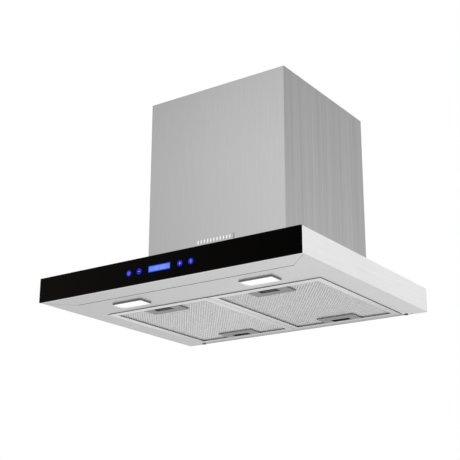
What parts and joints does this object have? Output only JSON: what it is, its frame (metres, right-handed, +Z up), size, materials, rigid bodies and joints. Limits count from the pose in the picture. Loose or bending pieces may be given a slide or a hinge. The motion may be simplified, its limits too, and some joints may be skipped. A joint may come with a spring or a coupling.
{
  "type": "range hood",
  "caption": "Wall-mounted T-shaped range hood: flat stainless canopy with black glass control front, lift-out mesh filters, lamps and a telescopic box chimney.",
  "frame": {"origin": "wall face, on the centre line, level with the underside panel", "axes": "+X to the right seen from the front, +Y into the wall, +Z up"},
  "size_m": [0.6, 0.4975, 0.459],
  "materials": {
    "stainless": "brushed",
    "mesh": "satin expanded mesh",
    "galvanised": "matt zinc",
    "fastener": "bright",
    "black_rivet": "satin",
    "black_glass": "polished, black printed back",
    "display_blue": "lit from behind",
    "icon_blue": "lit from behind",
    "circuit": "satin",
    "black_plastic": "moulded",
    "latch_grey": "moulded",
    "rubber": "matt",
    "diffuser": "frosted",
    "lead_grey": "matt",
    "wheel_grey": "moulded",
    "motor_case": "cast",
    "laminations": "stacked sheet",
    "white_plastic": "moulded"
  },
  "bodies": {
    "hood": {"canopy_wrap": "stainless", "front_wall": "stainless", "top_cover": "stainless", "back_panel": "stainless", "back_rail": "stainless", "sheet_screws": "fastener", "corner_rivets": "black_rivet", "sprung_catches": "stainless", "glass_panel": "black_glass", "panel_carrier": "stainless", "display_window": "display_blue", "touch_icons": "icon_blue", "control_board": "circuit", "touch_pads": "rubber", "control_box": "black_plastic", "lamp_bezels": "stainless", "lamp_diffusers": "diffuser", "lamp_boards": "circuit", "lamp_caps": "black_plastic", "led_driver": "black_plastic", "power_box": "black_plastic", "power_board": "circuit", "wiring": "lead_grey", "chimney_lower": "stainless", "badge_plate": "stainless", "chimney_bracket": "galvanised", "fan_chamber": "galvanised", "scroll_wrap": "galvanised", "scroll_cheeks": "galvanised", "motor_stator": "laminations", "motor_case": "motor_case", "motor_bearings": "fastener", "motor_spider": "galvanised", "motor_bushes": "rubber", "motor_screws": "fastener", "run_capacitor": "white_plastic", "capacitor_nut": "fastener", "duct_collar": "black_plastic", "flap_pin": "fastener", "terminal_box": "black_plastic", "terminal_block": "white_plastic", "cable_gland": "black_plastic"},
    "filter_left": {"filter_frame_left": "stainless", "filter_mesh_left": "mesh", "handles_left": "stainless", "latch_springs_left": "fastener"},
    "latch_left_front": {"latch_left_front": "latch_grey"},
    "latch_left_rear": {"latch_left_rear": "latch_grey"},
    "filter_right": {"filter_frame_right": "stainless", "filter_mesh_right": "mesh", "handles_right": "stainless", "latch_springs_right": "fastener"},
    "latch_right_front": {"latch_right_front": "latch_grey"},
    "latch_right_rear": {"latch_right_rear": "latch_grey"},
    "impeller": {"fan_wheel": "wheel_grey", "motor_shaft": "fastener", "motor_rotor": "laminations"},
    "flap_front": {"damper_flap_front": "wheel_grey"},
    "flap_rear": {"damper_flap_rear": "wheel_grey"},
    "upper_chimney": {"chimney_upper": "stainless"}
  },
  "joints": [
    {"name": "left_filter_tilt", "type": "hinge", "parent": "hood", "child": "filter_left", "pos_m": [0, -0.0185, 0.0012], "axis": [1, 0, 0], "range_deg": [0, 75], "deforming": ["sprung_catches"]},
    {"name": "right_filter_tilt", "type": "hinge", "parent": "hood", "child": "filter_right", "pos_m": [0, -0.0185, 0.0012], "axis": [1, 0, 0], "range_deg": [0, 75], "deforming": ["sprung_catches"]},
    {"name": "left_front_latch_slide", "type": "slide", "parent": "filter_left", "child": "latch_left_front", "axis": [0, 1, 0], "range_m": [0, 0.0045], "stiffness_N_per_m": 400, "springref_m": -0.004, "deforming": ["latch_springs_left"]},
    {"name": "left_rear_latch_slide", "type": "slide", "parent": "filter_left", "child": "latch_left_rear", "axis": [0, -1, 0], "range_m": [0, 0.0045], "stiffness_N_per_m": 400, "springref_m": -0.004, "deforming": ["latch_springs_left"]},
    {"name": "right_front_latch_slide", "type": "slide", "parent": "filter_right", "child": "latch_right_front", "axis": [0, 1, 0], "range_m": [0, 0.0045], "stiffness_N_per_m": 400, "springref_m": -0.004, "deforming": ["latch_springs_right"]},
    {"name": "right_rear_latch_slide", "type": "slide", "parent": "filter_right", "child": "latch_right_rear", "axis": [0, -1, 0], "range_m": [0, 0.0045], "stiffness_N_per_m": 400, "springref_m": -0.004, "deforming": ["latch_springs_right"]},
    {"name": "impeller_spin", "type": "hinge", "parent": "hood", "child": "impeller", "pos_m": [0, -0.154, 0.19], "axis": [1, 0, 0], "continuous": true},
    {"name": "front_flap_hinge", "type": "hinge", "parent": "hood", "child": "flap_front", "pos_m": [0, -0.085, 0.325], "axis": [-1, 0, 0], "range_deg": [0, 80]},
    {"name": "rear_flap_hinge", "type": "hinge", "parent": "hood", "child": "flap_rear", "pos_m": [0, -0.085, 0.325], "axis": [1, 0, 0], "range_deg": [0, 80]},
    {"name": "upper_chimney_slide", "type": "slide", "parent": "hood", "child": "upper_chimney", "axis": [0, 0, 1], "range_m": [0, 0.33]}
  ]
}
